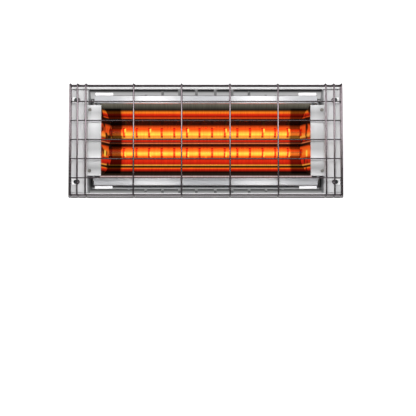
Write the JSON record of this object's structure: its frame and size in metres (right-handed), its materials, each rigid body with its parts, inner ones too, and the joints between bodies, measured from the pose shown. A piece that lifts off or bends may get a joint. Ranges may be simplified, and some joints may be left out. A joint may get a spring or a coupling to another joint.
{
  "type": "infrared heat lamp warmer",
  "caption": "Twin-lamp infrared food warmer head: folded vented housing, twin-trough mirror, ruby quartz lamps and a welded wire guard.",
  "frame": {"origin": "centre of the back panel's outer face", "axes": "+X along the lamps, +Z from the back panel towards the guard, the way the lamps face"},
  "size_m": [0.4548, 0.1888, 0.1222],
  "materials": {
    "silver_paint": "silver-grey powder coat, satin",
    "guard_wire": "bright chromed steel wire",
    "bright_plate": "bright plate",
    "dark_screw": "blackened steel",
    "mirror_sheet": "bright rolled aluminium mirror sheet",
    "brushed_sheet": "brushed aluminium sheet",
    "zinc_screw": "zinc plated",
    "galvanised_sheet": "galvanised sheet",
    "ruby_quartz": "ruby-coated quartz",
    "hot_tungsten": "glowing coil",
    "tungsten_wire": "dark support wire",
    "white_ceramic": "matte steatite",
    "contact_brass": "drawn brass",
    "spring_steel": "spring wire",
    "glass_sleeve": "braided glass-fibre sleeve",
    "grommet_rubber": "black rubber"
  },
  "bodies": {
    "heater": {"bulkhead_left": "galvanised_sheet", "bulkhead_right": "galvanised_sheet", "cable_grommet": "grommet_rubber", "contact_tabs": "contact_brass", "earth_nut": "zinc_screw", "earth_stud": "zinc_screw", "end_cap_screws": "zinc_screw", "end_cover_left": "silver_paint", "end_cover_right": "silver_paint", "feed_lead_lower": "glass_sleeve", "feed_lead_upper": "glass_sleeve", "fixed_contacts": "contact_brass", "guard_clips": "bright_plate", "guard_cross_wires": "guard_wire", "guard_end_wires": "guard_wire", "guard_frame": "guard_wire", "guard_long_wires": "guard_wire", "guard_lugs": "guard_wire", "guard_screws": "dark_screw", "guard_side_wires": "guard_wire", "hanger_screws": "zinc_screw", "heat_shield": "galvanised_sheet", "holder_bracket_left": "galvanised_sheet", "holder_bracket_right": "galvanised_sheet", "holder_screws": "zinc_screw", "housing_shell": "silver_paint", "lamp_holder_lower_left": "white_ceramic", "lamp_holder_lower_right": "white_ceramic", "lamp_holder_upper_left": "white_ceramic", "lamp_holder_upper_right": "white_ceramic", "lamp_lower_spring": "spring_steel", "lamp_upper_spring": "spring_steel", "mounting_nuts": "galvanised_sheet", "reflector": "mirror_sheet", "reflector_end_cap_left": "brushed_sheet", "reflector_end_cap_right": "brushed_sheet", "reflector_hangers": "galvanised_sheet", "return_lead_lower": "glass_sleeve", "return_lead_upper": "glass_sleeve", "side_rivets": "silver_paint", "terminal_block": "white_ceramic", "terminal_clamps": "contact_brass", "terminal_screws": "zinc_screw", "wire_saddles": "white_ceramic"},
    "lamp_upper": {"lamp_upper_tube": "ruby_quartz", "lamp_upper_filament": "hot_tungsten", "lamp_upper_supports": "tungsten_wire", "lamp_upper_caps": "white_ceramic", "lamp_upper_buttons": "contact_brass", "lamp_upper_plunger": "contact_brass"},
    "lamp_lower": {"lamp_lower_tube": "ruby_quartz", "lamp_lower_filament": "hot_tungsten", "lamp_lower_supports": "tungsten_wire", "lamp_lower_caps": "white_ceramic", "lamp_lower_buttons": "contact_brass", "lamp_lower_plunger": "contact_brass"}
  },
  "joints": [
    {"name": "lamp_upper_slide", "type": "slide", "parent": "heater", "child": "lamp_upper", "axis": [1, 0, 0], "range_m": [0, 0.003], "stiffness_N_per_m": 2000, "springref_m": -0.002, "deforming": ["lamp_upper_spring"]},
    {"name": "lamp_lower_slide", "type": "slide", "parent": "heater", "child": "lamp_lower", "axis": [1, 0, 0], "range_m": [0, 0.003], "stiffness_N_per_m": 2000, "springref_m": -0.002, "deforming": ["lamp_lower_spring"]}
  ]
}
